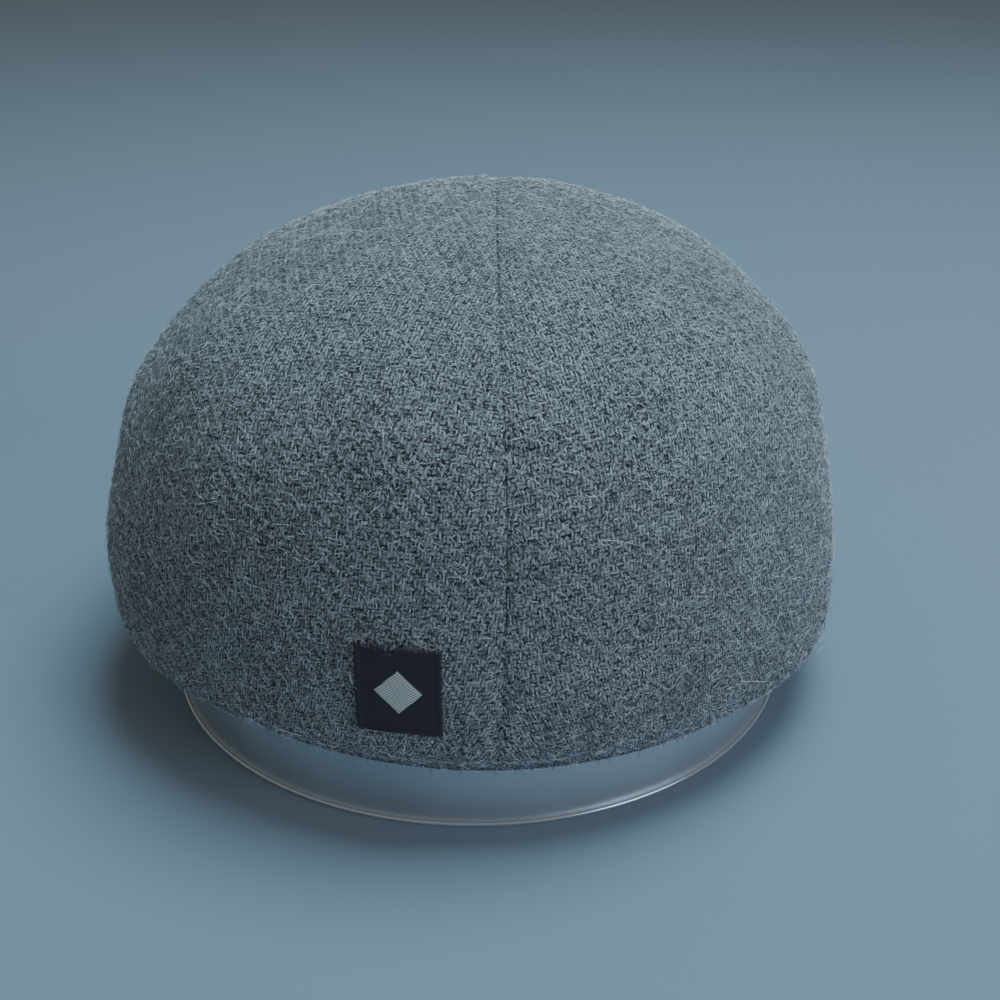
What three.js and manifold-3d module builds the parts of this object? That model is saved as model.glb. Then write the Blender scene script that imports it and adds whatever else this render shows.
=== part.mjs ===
// A two-panel woollen flat cap with a plain peak and a woven label, resting on a round display stand.
// Millimetres, Z up. The stand's axis is the Z axis, the back of the cap faces -Y and the peak points along +Y.

import * as THREE from "three";
import { mergeVertices } from "three/addons/utils/BufferGeometryUtils.js";
import Module from "manifold-3d";

const { degToRad, radToDeg, euclideanModulo, lerp, smoothstep } = THREE.MathUtils;
const { sin, cos, PI } = Math;

// Cloth and clearances
const clothWall = 2.4;
const hemClearance = 0.6; // between the hem's inner face and the stand
const restGap = 0.3; // between pieces that lie on each other
const seamGap = 0.3; // between the two crown panels

// Stand
const standRadius = 85;
const lipThickness = 2.2;
const lipReach = 1.3; // how far the rolled lip stands out from the wall
const domeStart = 0.35; // share of crownRise at which the wall turns into the dome

// Crown
const hemHeight = 18.2; // back of the hem above the surface that the stand rests on
const hemTilt = 5; // how much higher the hem sits on the left side than on the right
const hemSag = 5.5; // how far the sides of the hem hang below its back
const crownRise = 114; // from the hem to the top
const sideOverhang = 11.5; // widest part of the crown beyond the hem
const backOverhang = 6.5;
const frontOverhang = 3;
const frontFullness = 9; // the crown's front corners beyond a plain oval, fading out to the top
const crownShift = -1; // the crown's middle lies a little left of the stand's axis
const openingLead = 24; // the opening's front beyond the round that the stand fills
const crownLead = 29; // the crown's front edge beyond the opening
const foldHeight = 3; // the strongest fold or dent
const reliefStart = 0.03; // folds fade in above the hem, between these shares of crownRise
const reliefFull = 0.12;

// Centre seam
const seamOffset = 6.5; // the seam lies right of the stand's axis
const seamDepth = 0.5;
const seamHalfWidth = 4;

// Peak
const peakShow = 25; // the peak's front edge beyond the crown's
const peakTipWidth = 5;
const peakTaper = 0.8; // lower is a peak that widens faster from its ends
const peakThickness = 4;
const peakTurn = 22; // degrees from the side of the cap to each end of the peak
const peakArch = 10; // middle of the peak above its ends
const peakDroop = 10; // front edge below the inner edge

// Label
const labelWidth = 19.3;
const labelHeight = 22;
const labelThickness = 0.8;
const labelFromSeam = 12.8; // from the seam to the label's near edge
const labelAboveHem = 14.5;

// Facets
const crownColumns = 60;
const seamCrowding = 0.55; // how much closer the columns lie beside the seam
const ringsPerSection = 2;
const peakColumns = 36;
const peakRows = 4;
const edgeFacets = 4;
const labelFacets = 5;
const standFacets = 48;
const curveFacets = 5;

// Crown sections, bottom to top. height is the share of crownRise above the hem. spread is the share of the
// way from the hem's line out to the crown's full outline. back, side and front are the shares of that
// outline that the section keeps in each direction.
const crownSections = [
  { height: 0.0, spread: 0.0, back: 1.0, side: 1.0, front: 1.0 },
  { height: 0.025, spread: 0.16, back: 1.0, side: 1.0, front: 1.0 },
  { height: 0.055, spread: 0.76, back: 1.0, side: 1.0, front: 1.0 },
  { height: 0.09, spread: 0.97, back: 1.0, side: 1.0, front: 1.0 },
  { height: 0.14, spread: 1.0, back: 1.0, side: 1.0, front: 1.0 },
  { height: 0.25, spread: 1.0, back: 1.0, side: 0.995, front: 0.975 },
  { height: 0.38, spread: 1.0, back: 0.99, side: 0.97, front: 0.91 },
  { height: 0.5, spread: 1.0, back: 0.975, side: 0.935, front: 0.835 },
  { height: 0.6, spread: 1.0, back: 0.95, side: 0.89, front: 0.76 },
  { height: 0.69, spread: 1.0, back: 0.91, side: 0.825, front: 0.675 },
  { height: 0.77, spread: 1.0, back: 0.85, side: 0.745, front: 0.58 },
  { height: 0.84, spread: 1.0, back: 0.765, side: 0.65, front: 0.485 },
  { height: 0.9, spread: 1.0, back: 0.655, side: 0.53, front: 0.38 },
  { height: 0.95, spread: 1.0, back: 0.5, side: 0.38, front: 0.27 },
  { height: 0.985, spread: 1.0, back: 0.28, side: 0.21, front: 0.15 },
  { height: 1.0, spread: 1.0, back: 0.0, side: 0.0, front: 0.0 },
];

// Folds and dents of the soft crown. turn and turnSpread are degrees round the seam's axis, from the right
// side through the front. height and heightSpread are shares of crownRise, and rise is a share of foldHeight.
const crownFolds = [
  { turn: 226, height: 0.6, turnSpread: 5, heightSpread: 0.24, rise: 0.5 },
  { turn: 245, height: 0.66, turnSpread: 11, heightSpread: 0.17, rise: -0.6 },
  { turn: 211, height: 0.76, turnSpread: 12, heightSpread: 0.12, rise: 0.5 },
  { turn: 200, height: 0.3, turnSpread: 16, heightSpread: 0.14, rise: 0.5 },
  { turn: 180, height: 0.56, turnSpread: 14, heightSpread: 0.1, rise: 0.4 },
  { turn: 356, height: 0.66, turnSpread: 14, heightSpread: 0.11, rise: 0.6 },
  { turn: 318, height: 0.5, turnSpread: 10, heightSpread: 0.2, rise: -0.4 },
];

// Sizes that follow from the ones above
const hemRadius = standRadius + hemClearance + clothWall;
const openingFront = hemRadius + openingLead;
const crownHalfWidth = hemRadius + sideOverhang;
const crownBack = hemRadius + backOverhang;
const crownFront = openingFront + crownLead + frontOverhang;
const crownTop = hemHeight + crownRise;
const peakDepth = crownLead + peakShow; // from the opening to the peak's front edge

// The seam's axis stands upright through the top of the seam. Turns and radii of the crown and the peak
// are measured from it.
function aroundSeamAxis(turn, radius, height) {
  return new THREE.Vector3(seamOffset + radius * cos(turn), radius * sin(turn), height);
}

// Distance from the seam's axis to an oval, in the direction of a turn.
function reachToOval(turn, middle, halfWidth, halfDepth) {
  const start = seamOffset - middle;
  const across = cos(turn) / halfWidth;
  const along = sin(turn) / halfDepth;
  const a = across * across + along * along;
  const b = (start * across) / halfWidth;
  const c = (start / halfWidth) ** 2 - 1;
  return (Math.sqrt(b * b - a * c) - b) / a;
}

function openingReach(turn) {
  return reachToOval(turn, 0, hemRadius, sin(turn) > 0 ? openingFront : hemRadius);
}

function outlineReach(turn, height) {
  const oval = reachToOval(turn, crownShift, crownHalfWidth, sin(turn) > 0 ? crownFront : crownBack);
  const corner = Math.max(sin(turn), 0) * sin(2 * turn) ** 2;
  return oval + frontFullness * corner * (1 - height);
}

// 0 at the ends of the peak and behind them, 1 at its middle.
function peakShare(turn) {
  const first = degToRad(peakTurn);
  const along = (turn - first) / (PI - 2 * first);
  return along > 0 && along < 1 ? sin(along * PI) ** peakTaper : 0;
}

function hemReach(turn) {
  return openingReach(turn) + crownLead * peakShare(turn);
}

// Height of the surface that the hem follows: tilted, hanging at the sides and arched over the peak.
function seatHeight(turn, radius) {
  const place = aroundSeamAxis(turn, radius, 0);
  const lean = (-hemTilt * place.x) / (2 * hemRadius);
  const ahead = (radius - openingReach(turn)) / peakDepth;
  const level = hemHeight + lean - hemSag * cos(turn) ** 4;
  return level + peakShare(turn) ** 2 * (peakArch - peakDroop * ahead);
}

// A value of the crown's section table at any height, on a smooth curve through the rows.
function sectionValue(column, height) {
  const last = crownSections.length - 1;
  const above = crownSections.findIndex((row) => row.height >= height);
  const k = Math.min(Math.max(above, 1), last) - 1;
  const slopeAt = (i) => {
    const before = crownSections[Math.max(i - 1, 0)];
    const after = crownSections[Math.min(i + 1, last)];
    return (after[column] - before[column]) / (after.height - before.height);
  };
  const low = crownSections[k];
  const high = crownSections[k + 1];
  const span = high.height - low.height;
  const t = (height - low.height) / span;
  const blend = t * t * (3 - 2 * t);
  const bend = slopeAt(k) * t * (1 - t) ** 2 - slopeAt(k + 1) * t * t * (1 - t);
  return low[column] + (high[column] - low[column]) * blend + span * bend;
}

// The crown's outer surface before its folds.
function crownForm(turn, height) {
  const ahead = Math.max(sin(turn), 0) ** 2;
  const behind = Math.max(-sin(turn), 0) ** 2;
  const kept =
    sectionValue("back", height) * behind +
    sectionValue("front", height) * ahead +
    sectionValue("side", height) * cos(turn) ** 2;
  const hem = hemReach(turn);
  const spread = hem + (outlineReach(turn, height) - hem) * sectionValue("spread", height);
  const seat = seatHeight(turn, hem);
  return aroundSeamAxis(turn, spread * kept, seat + (crownTop - seat) * height);
}

// How far the cloth stands out of that form, from the folds and the sunk centre seam.
function crownRelief(turn, height, place) {
  const bell = (distance) => Math.exp(-distance * distance);
  let relief = -seamDepth * bell((place.x - seamOffset) / seamHalfWidth);
  for (const fold of crownFolds) {
    const around = (euclideanModulo(radToDeg(turn) - fold.turn + 180, 360) - 180) / fold.turnSpread;
    const up = (height - fold.height) / fold.heightSpread;
    relief += foldHeight * fold.rise * bell(around) * bell(up);
  }
  return relief * smoothstep(height, reliefStart, reliefFull);
}

// A point of the crown, lifted off its outer surface by a distance that is negative inside the cloth.
function crownPoint(turn, height, lift) {
  const turnStep = 0.01;
  const heightStep = 0.004;
  const place = crownForm(turn, height);
  const around = crownForm(turn + turnStep, height).sub(crownForm(turn - turnStep, height));
  const up = new THREE.Vector3(0, 0, 1);
  if (height > 0) {
    const low = crownForm(turn, Math.max(height - heightStep, 0));
    up.subVectors(crownForm(turn, Math.min(height + heightStep, 1)), low);
  }
  const outward = new THREE.Vector3(0, 0, 1);
  if (height < 1) outward.crossVectors(around, up).normalize();
  return place.addScaledVector(outward, crownRelief(turn, height, place) + lift);
}

// A closed body between two grids of points, front facing out. A looped grid closes on itself round its
// columns, and a face that shrinks to a line where columns meet is left out.
function closedSheet(front, back, looped) {
  const rows = front.length;
  const columns = front[0].length;
  const corners = [...front.flat(), ...back.flat()];
  const faces = [];
  const at = (side, row, column) => (side * rows + row) * columns + (column % columns);
  const addFace = (...face) => {
    const [a, b, c] = face.map((corner) => corners[corner]);
    if (!a.equals(b) && !b.equals(c) && !c.equals(a)) faces.push(...face);
  };
  const addQuad = (a, b, c, d) => {
    addFace(a, b, c);
    addFace(a, c, d);
  };
  const spans = looped ? columns : columns - 1;
  for (let j = 0; j < spans; j += 1) {
    for (let i = 0; i < rows - 1; i += 1) {
      addQuad(at(0, i, j), at(0, i, j + 1), at(0, i + 1, j + 1), at(0, i + 1, j));
      addQuad(at(1, i, j), at(1, i + 1, j), at(1, i + 1, j + 1), at(1, i, j + 1));
    }
    addQuad(at(0, 0, j), at(1, 0, j), at(1, 0, j + 1), at(0, 0, j + 1));
    addQuad(at(0, rows - 1, j), at(0, rows - 1, j + 1), at(1, rows - 1, j + 1), at(1, rows - 1, j));
  }
  for (let i = 0; i < rows - 1 && !looped; i += 1) {
    addQuad(at(0, i, 0), at(0, i + 1, 0), at(1, i + 1, 0), at(1, i, 0));
    addQuad(at(0, i, spans), at(1, i, spans), at(1, i + 1, spans), at(0, i + 1, spans));
  }
  const geometry = new THREE.BufferGeometry().setFromPoints(corners);
  geometry.setIndex(faces);
  return mergeVertices(geometry);
}

function grid(rows, columns, pointAt) {
  return Array.from({ length: rows }, (_, i) => Array.from({ length: columns }, (_, j) => pointAt(i, j)));
}

const wasm = await Module();
wasm.setup();

function solidFrom(geometry) {
  const bare = geometry.clone();
  bare.deleteAttribute("normal");
  bare.deleteAttribute("uv");
  const merged = mergeVertices(bare);
  const vertProperties = merged.attributes.position.array;
  const triVerts = new Uint32Array(merged.index.array);
  return new wasm.Manifold(new wasm.Mesh({ numProp: 3, vertProperties, triVerts }));
}

function geometryFrom(solid) {
  const { vertProperties, triVerts } = solid.getMesh();
  const geometry = new THREE.BufferGeometry();
  geometry.setAttribute("position", new THREE.BufferAttribute(vertProperties, 3));
  return geometry.setIndex(new THREE.BufferAttribute(triVerts, 1));
}

// The crown's whole cloth shell, open underneath, with its columns crowded along the centre seam.
function crownShell() {
  const heights = [0];
  for (let k = 1; k < crownSections.length; k += 1) {
    const low = crownSections[k - 1].height;
    const high = crownSections[k].height;
    for (let i = 1; i <= ringsPerSection; i += 1) heights.push(low + ((high - low) * i) / ringsPerSection);
  }
  const turnAt = (j) => {
    const even = (2 * PI * j) / crownColumns;
    return (1.5 * PI + even - (seamCrowding * sin(2 * even)) / 2) % (2 * PI);
  };
  const side = (lift) =>
    grid(heights.length, crownColumns, (i, j) => crownPoint(turnAt(j), heights[i], lift));
  const inner = side(-clothWall);
  inner[0].forEach((corner, j) => {
    const turn = turnAt(j);
    const radius = hemReach(turn) - clothWall;
    corner.copy(aroundSeamAxis(turn, radius, seatHeight(turn, radius)));
  });
  return closedSheet(side(0), inner, true);
}

// One half of the crown, on the left (-1) or the right (1) of the centre seam.
function crownPanel(shell, side) {
  const size = 4 * (crownFront + crownRise);
  const half = new THREE.BoxGeometry(size, size, size);
  half.translate(seamOffset + side * (size / 2 + seamGap / 2), 0, 0);
  return geometryFrom(shell.intersect(solidFrom(half)));
}

// The peak, a stiff crescent under the crown's front edge with a rounded outer edge.
function peakBody() {
  const first = degToRad(peakTurn);
  const half = peakThickness / 2;
  const turnAt = (j) => first + ((PI - 2 * first) * j) / (peakColumns - 1);
  const side = (facing) =>
    grid(peakRows + edgeFacets + 1, peakColumns, (i, j) => {
      const turn = turnAt(j);
      const inner = openingReach(turn) - clothWall;
      const share = peakShare(turn);
      const width = clothWall + crownLead * share + lerp(peakTipWidth, peakShow, share ** 2);
      const flat = width - half;
      const roll = (Math.max(i - peakRows, 0) * PI) / 2 / edgeFacets;
      const radius = inner + (flat * Math.min(i, peakRows)) / peakRows + half * sin(roll);
      const middle = seatHeight(turn, Math.min(radius, inner + flat)) - restGap - half;
      return aroundSeamAxis(turn, radius, middle + facing * half * cos(roll));
    });
  return closedSheet(side(-1), side(1), false);
}

// The label, a thin woven patch that follows the back of the left panel.
function labelBody() {
  const bottom = labelAboveHem / crownRise;
  const middleTurn = 1.5 * PI - (labelFromSeam + labelWidth / 2) / crownBack;
  const side = (lift) =>
    grid(labelFacets + 1, labelFacets + 1, (i, j) => {
      const turn = middleTurn + (labelWidth * (j / labelFacets - 0.5)) / crownBack;
      return crownPoint(turn, bottom + (labelHeight * i) / labelFacets / crownRise, lift);
    });
  return closedSheet(side(restGap + labelThickness), side(restGap), false);
}

// The stand, a round drum with a rolled lip at its foot and a dome that holds the crown up.
function standBody() {
  const shoulder = hemHeight + domeStart * crownRise;
  const domeRise = crownTop - seamDepth - clothWall - restGap - shoulder;
  const lip = lipThickness / 2;
  const profile = new THREE.Path();
  profile.moveTo(0, 0);
  profile.lineTo(standRadius + lipReach - lip, 0);
  profile.absarc(standRadius + lipReach - lip, lip, lip, -PI / 2, PI / 2);
  profile.lineTo(standRadius, lipThickness);
  profile.lineTo(standRadius, shoulder);
  profile.absellipse(0, shoulder, standRadius, domeRise, 0, PI / 2);
  const body = new THREE.LatheGeometry(profile.getPoints(curveFacets), standFacets);
  return body.rotateX(PI / 2);
}

const wool = { color: 0x5b6870, roughness: 0.95, metalness: 0 };
const labelWeave = { color: 0x23272f, roughness: 0.9, metalness: 0 };
const satinMetal = { color: 0x8f9da6, roughness: 0.42, metalness: 0.8 };

function piece(name, geometry, finish) {
  geometry.computeVertexNormals();
  const mesh = new THREE.Mesh(geometry, new THREE.MeshStandardMaterial(finish));
  mesh.name = name;
  return mesh;
}

const shell = solidFrom(crownShell());
const cap = new THREE.Group();
cap.add(
  piece("crown_left_panel", crownPanel(shell, -1), wool),
  piece("crown_right_panel", crownPanel(shell, 1), wool),
  piece("peak", peakBody(), wool),
  piece("woven_label", labelBody(), labelWeave),
  piece("stand", standBody(), satinMetal),
);

export default cap;
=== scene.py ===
# %% [markdown]
# # A woollen flat cap on a round stand
#
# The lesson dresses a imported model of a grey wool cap. It starts from the fixed frame, sets the
# camera and the light, and then makes the stand, the two halves of the crown, their seam, the peak, the
# label and at last the loose wool that gives the cap its soft edge. Sizes are written in millimetres and
# turned into metres where a mesh is made.

# %% Load the frame
import bisect
import math
import random

import bmesh
import bpy
from mathutils import Matrix, Vector, noise


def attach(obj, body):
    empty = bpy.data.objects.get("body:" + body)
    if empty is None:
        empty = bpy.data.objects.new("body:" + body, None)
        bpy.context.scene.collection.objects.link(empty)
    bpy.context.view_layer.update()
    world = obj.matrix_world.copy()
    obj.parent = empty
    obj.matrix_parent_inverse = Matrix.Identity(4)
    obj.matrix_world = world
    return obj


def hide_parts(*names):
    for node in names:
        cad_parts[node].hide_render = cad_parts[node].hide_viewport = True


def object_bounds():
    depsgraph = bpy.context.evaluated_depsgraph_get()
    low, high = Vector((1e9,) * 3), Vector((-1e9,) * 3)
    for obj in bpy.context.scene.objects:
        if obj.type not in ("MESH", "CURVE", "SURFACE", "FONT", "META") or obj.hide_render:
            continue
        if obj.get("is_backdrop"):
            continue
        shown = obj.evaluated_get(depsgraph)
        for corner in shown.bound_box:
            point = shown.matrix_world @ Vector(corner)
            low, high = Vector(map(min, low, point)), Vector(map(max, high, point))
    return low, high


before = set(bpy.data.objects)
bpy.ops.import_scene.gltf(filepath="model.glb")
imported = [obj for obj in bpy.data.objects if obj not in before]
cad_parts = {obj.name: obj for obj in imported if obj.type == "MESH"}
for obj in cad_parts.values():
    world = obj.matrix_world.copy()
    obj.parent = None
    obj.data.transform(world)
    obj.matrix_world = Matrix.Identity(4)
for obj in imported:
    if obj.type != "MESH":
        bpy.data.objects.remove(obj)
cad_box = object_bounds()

MM = 0.001
scene = bpy.context.scene
print("nodes", sorted(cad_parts))

# %% [markdown]
# ## Camera
#
# The photo was taken from behind the cap, a little above it. The lens and the place below come from
# fitting the round stand, whose ellipse fixes the angle, and the camera stays level so that only one
# angle is needed.

# %% Camera
PHOTO_WIDTH = 1000
FOCAL_PIXELS = 1380
LOOK_DOWN = 26
SENSOR_WIDTH = 36
CAMERA_PLACE = (6.2, -348.7, 215.3)

lens = bpy.data.cameras.new("photo_camera")
lens.sensor_width = SENSOR_WIDTH
lens.lens = SENSOR_WIDTH * FOCAL_PIXELS / PHOTO_WIDTH
lens.clip_start = 0.01
camera = bpy.data.objects.new("photo_camera", lens)
camera.location = Vector(CAMERA_PLACE) * MM
camera.rotation_euler = (math.radians(90 - LOOK_DOWN), 0, 0)
scene.collection.objects.link(camera)
scene.camera = camera
print("camera", [round(value, 3) for value in camera.location], "lens", round(lens.lens, 2))

# %% [markdown]
# ## Helpers for pieces and finishes
#
# Each piece is a mesh made in a bmesh, with its place in its vertices. Each finish is a Principled shader
# fed by a few small node helpers, so that a recipe reads like a sum.


# %% Piece helper
def add_piece(name, mesh, finishes):
    piece = bpy.data.objects.new(name, mesh)
    scene.collection.objects.link(piece)
    for finish in finishes:
        mesh.materials.append(finish)
    mesh.shade_smooth()
    return piece


def mesh_from(shape, name):
    mesh = bpy.data.meshes.new(name)
    shape.to_mesh(mesh)
    shape.free()
    return mesh


def dress(piece, slot, *nodes):
    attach(piece, "root")
    if nodes:
        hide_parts(*nodes)
    print(piece.name, len(piece.data.polygons), "faces")


# %% Finish helpers
class Recipe:
    """A material's node tree, with short calls that return sockets."""

    def __init__(self, name):
        self.material = bpy.data.materials.new(name)
        self.material.use_nodes = True
        self.tree = self.material.node_tree
        self.shader = self.tree.nodes["Principled BSDF"]

    def node(self, kind, **settings):
        made = self.tree.nodes.new(kind)
        for key, value in settings.items():
            setattr(made, key, value)
        return made

    def feed(self, socket, value):
        if isinstance(value, bpy.types.NodeSocket):
            self.tree.links.new(value, socket)
        else:
            socket.default_value = value

    def surface(self, inputs):
        """Sets the shader's inputs by name, each to a number, a colour or a socket."""
        for name, value in inputs.items():
            self.feed(self.shader.inputs[name], value)

    def sum(self, operation, *values):
        made = self.node("ShaderNodeMath", operation=operation)
        for socket, value in zip(made.inputs, values):
            self.feed(socket, value)
        return made.outputs[0]

    def vector(self, operation, *values):
        made = self.node("ShaderNodeVectorMath", operation=operation)
        for socket, value in zip(made.inputs, values):
            self.feed(socket, value)
        return made.outputs[0]

    def split(self, place):
        made = self.node("ShaderNodeSeparateXYZ")
        self.feed(made.inputs[0], place)
        return made.outputs

    def noise(self, place, scale, detail=2.0, roughness=0.5, output="Fac"):
        made = self.node("ShaderNodeTexNoise")
        self.feed(made.inputs["Vector"], place)
        made.inputs["Scale"].default_value = scale
        made.inputs["Detail"].default_value = detail
        made.inputs["Roughness"].default_value = roughness
        return made.outputs[output]

    def turned(self, place, degrees):
        made = self.node("ShaderNodeVectorRotate", rotation_type="Z_AXIS")
        self.feed(made.inputs["Vector"], place)
        made.inputs["Angle"].default_value = math.radians(degrees)
        return made.outputs[0]

    def range(self, value, low, high, new_low=0.0, new_high=1.0):
        made = self.node("ShaderNodeMapRange", interpolation_type="SMOOTHSTEP")
        ends = {"From Min": low, "From Max": high, "To Min": new_low, "To Max": new_high}
        for key, number in {"Value": value, **ends}.items():
            self.feed(made.inputs[key], number)
        return made.outputs["Result"]

    def mix(self, share, first, second):
        made = self.node("ShaderNodeMix", data_type="RGBA")
        self.feed(made.inputs[0], share)
        self.feed(made.inputs[6], first)
        self.feed(made.inputs[7], second)
        return made.outputs[2]

    def bump(self, height, distance, strength=1.0):
        made = self.node("ShaderNodeBump")
        made.inputs["Strength"].default_value = strength
        made.inputs["Distance"].default_value = distance
        self.feed(made.inputs["Height"], height)
        self.feed(self.shader.inputs["Normal"], made.outputs[0])


def grey(level, warmth=0.0):
    """A cool grey of that lightness. Warmth above 0 takes the blue away."""
    return (level * (0.88 + warmth), level, level * (1.1 - warmth), 1)


print("helpers ready")

# %% [markdown]
# ## Floor and light
#
# A plain blue-grey floor carries the stand. One broad lamp hangs above and slightly to the right, because
# in the photo the top of the cap is brightest and its lower left is darkest. A second one fills from the
# right, on the camera's side. Both are cool, and a dim warm world does the rest.

# %% Floor
FLOOR_SIZE = 14.0
FLOOR_COLOUR = (0.265, 0.37, 0.47, 1)

floor_finish = Recipe("pale_floor")
floor_finish.surface({"Base Color": FLOOR_COLOUR, "Roughness": 0.85})
floor_shape = bmesh.new()
bmesh.ops.create_grid(floor_shape, x_segments=1, y_segments=1, size=FLOOR_SIZE / 2)
floor = add_piece("floor", mesh_from(floor_shape, "floor"), [floor_finish.material])
floor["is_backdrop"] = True

# %% Lights
WORLD_COLOUR = (1.0, 0.86, 0.75, 1)
WORLD_STRENGTH = 0.215
LAMP_TARGET = (0, 0, 0.06)

# name, place, size, power and colour of a lamp
LAMPS = [
    ("overhead_lamp", (0.25, 0.1, 1.25), 0.7, 11.4, (0.62, 0.89, 1.0)),
    ("fill_lamp", (1.3, -0.95, 0.62), 1.0, 7.4, (0.79, 0.86, 1.0)),
]

world = bpy.data.worlds.new("soft_room")
world.use_nodes = True
world.node_tree.nodes["Background"].inputs["Color"].default_value = WORLD_COLOUR
world.node_tree.nodes["Background"].inputs["Strength"].default_value = WORLD_STRENGTH
scene.world = world


def add_lamp(name, place, size, power, colour):
    lamp = bpy.data.lights.new(name, "AREA")
    lamp.shape = "DISK"
    lamp.size = size
    lamp.energy = power
    lamp.color = colour
    holder = bpy.data.objects.new(name, lamp)
    holder.location = place
    holder.rotation_euler = (Vector(LAMP_TARGET) - Vector(place)).to_track_quat("-Z", "Y").to_euler()
    scene.collection.objects.link(holder)
    print("lamp", name, power, "W")


for row in LAMPS:
    add_lamp(*row)

# %% [markdown]
# ## Stand
#
# The real stand is a pressed drum of satin metal with a thin rolled lip at its foot. A turned piece is a
# profile swept round an axis, so the outline is laid down as a chain of points and spun. The dome above
# the wall is hidden under the cap and only has to hold it up.

# %% Stand shape
STAND_RADIUS = 85
LIP_THICKNESS = 1.3
LIP_REACH = 1.3
LIP_STEPS = 12
FOOT_RINGS = (0, 40, 80)
WALL_RINGS = (10, 20, 30, 40, 50)
WALL_TOP = 58.1
DOME_TOP = 129
DOME_STEPS = 28
TURNED_STEPS = 160
SHARP_CORNER = 40


def arc(middle, radii, first, last, steps):
    """Points of an oval arc in the plane of radius and height."""
    for step in range(steps + 1):
        angle = math.radians(first + (last - first) * step / steps)
        yield middle[0] + radii[0] * math.cos(angle), middle[1] + radii[1] * math.sin(angle)


lip = LIP_THICKNESS / 2
lip_middle = (STAND_RADIUS + LIP_REACH - lip, lip)
stand_profile = [(radius, 0) for radius in FOOT_RINGS]
stand_profile += arc(lip_middle, (lip, lip), -90, 90, LIP_STEPS)
stand_profile += [(STAND_RADIUS, height) for height in (LIP_THICKNESS, *WALL_RINGS)]
stand_profile += arc((0, WALL_TOP), (STAND_RADIUS, DOME_TOP - WALL_TOP), 0, 90, DOME_STEPS)

stand_shape = bmesh.new()
outline = [stand_shape.verts.new((radius * MM, 0, height * MM)) for radius, height in stand_profile]
chain = [stand_shape.edges.new(pair) for pair in zip(outline, outline[1:])]
bmesh.ops.spin(
    stand_shape, geom=outline + chain, cent=(0, 0, 0), axis=(0, 0, 1), angle=math.tau,
    steps=TURNED_STEPS, use_merge=True,
)
bmesh.ops.remove_doubles(stand_shape, verts=stand_shape.verts, dist=1e-6)
bmesh.ops.recalc_face_normals(stand_shape, faces=stand_shape.faces)

# %% [markdown]
# ### Satin metal
#
# The metal is a cool grey that shines softly. Fine turning marks run round the drum, so the noise is
# squeezed in height, and a slower cloudiness changes the shine a little as finger marks and dust do. The
# rolled lip is worn smoother than the wall and catches the lamp, and its colour is a paler, bluer grey as
# a painted highlight.

# %% Stand finish
# the lip's paler, bluer metal colour is a painted highlight
LIP_METAL_PAINTED_HIGHLIGHT = (0.68, 0.80, 0.88, 1)
WALL_METALS = ((0.50, 0.58, 0.64, 1), (0.59, 0.67, 0.73, 1))
LIP_ROUGHNESS = (0.12, 0.26)
WALL_ROUGHNESS = (0.34, 0.44)
CLOUD_RANGE = (0.3, 0.7)
CLOUD_SCALE = 28
TURNING_SCALE = 220
TURNING_SQUEEZE = 14.0
TURNING_SHINE = 0.08
TURNING_DEPTH = 0.00002

satin = Recipe("satin_metal")
where = satin.node("ShaderNodeTexCoord").outputs["Object"]
squeezed = satin.vector("MULTIPLY", where, (1.0, 1.0, TURNING_SQUEEZE))
turning = satin.noise(squeezed, TURNING_SCALE, 3)
cloud = satin.noise(where, CLOUD_SCALE, 3)
on_wall = satin.range(satin.split(where)[2], 0.9 * LIP_THICKNESS * MM, 1.2 * LIP_THICKNESS * MM)
wall_shine = satin.range(cloud, *CLOUD_RANGE, *WALL_ROUGHNESS)
wall_shine = satin.sum("ADD", wall_shine, satin.sum("MULTIPLY", turning, TURNING_SHINE))
lip_shine = satin.range(cloud, *CLOUD_RANGE, *LIP_ROUGHNESS)
shine_gap = satin.sum("SUBTRACT", wall_shine, lip_shine)
satin.surface({
    # the lip gets the paler colour as a painted highlight, the wall the cloudy grey
    "Base Color": satin.mix(on_wall, LIP_METAL_PAINTED_HIGHLIGHT, satin.mix(cloud, *WALL_METALS)),
    "Roughness": satin.sum("MULTIPLY_ADD", on_wall, shine_gap, lip_shine),
    "Metallic": 0.75,
})
satin.bump(turning, TURNING_DEPTH, 0.35)

stand = add_piece("stand_drum", mesh_from(stand_shape, "stand_drum"), [satin.material])
stand.data.set_sharp_from_angle(angle=math.radians(SHARP_CORNER))
dress(stand, "stand_shell", "stand")

# %% [markdown]
# ## The crown's form
#
# The crown is two cloth panels sewn along the middle. Its surface is worked out from two numbers: the turn
# round an upright axis through the seam, and the height above the hem as a share of the crown's rise.
# These are the values and the functions that the model itself was made from, so the cloth lies where the
# solids are, apart from two soft swells and a dip.

# %% Crown sizes
CLOTH_WALL = 2.4
HEM_HEIGHT = 18.2
HEM_TILT = 5
HEM_SAG = 5.5
CROWN_RISE = 114
SIDE_OVERHANG = 11.5
BACK_OVERHANG = 6.5
FRONT_OVERHANG = 3
FRONT_FULLNESS = 9
CROWN_SHIFT = -1
OPENING_LEAD = 24
CROWN_LEAD = 29
FOLD_HEIGHT = 3
RELIEF_START = 0.03
RELIEF_FULL = 0.12
SEAM_OFFSET = 6.5
SEAM_DEPTH = 0.5
SEAM_HALF_WIDTH = 4
PEAK_SHOW = 25
PEAK_TIP_WIDTH = 5
PEAK_TAPER = 0.8
PEAK_THICKNESS = 4
PEAK_TURN = 22
PEAK_ARCH = 10
PEAK_DROOP = 10
HEM_SLACK = 0.6
HEM_RADIUS = STAND_RADIUS + HEM_SLACK + CLOTH_WALL
OPENING_FRONT = HEM_RADIUS + OPENING_LEAD
CROWN_HALF_WIDTH = HEM_RADIUS + SIDE_OVERHANG
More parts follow.
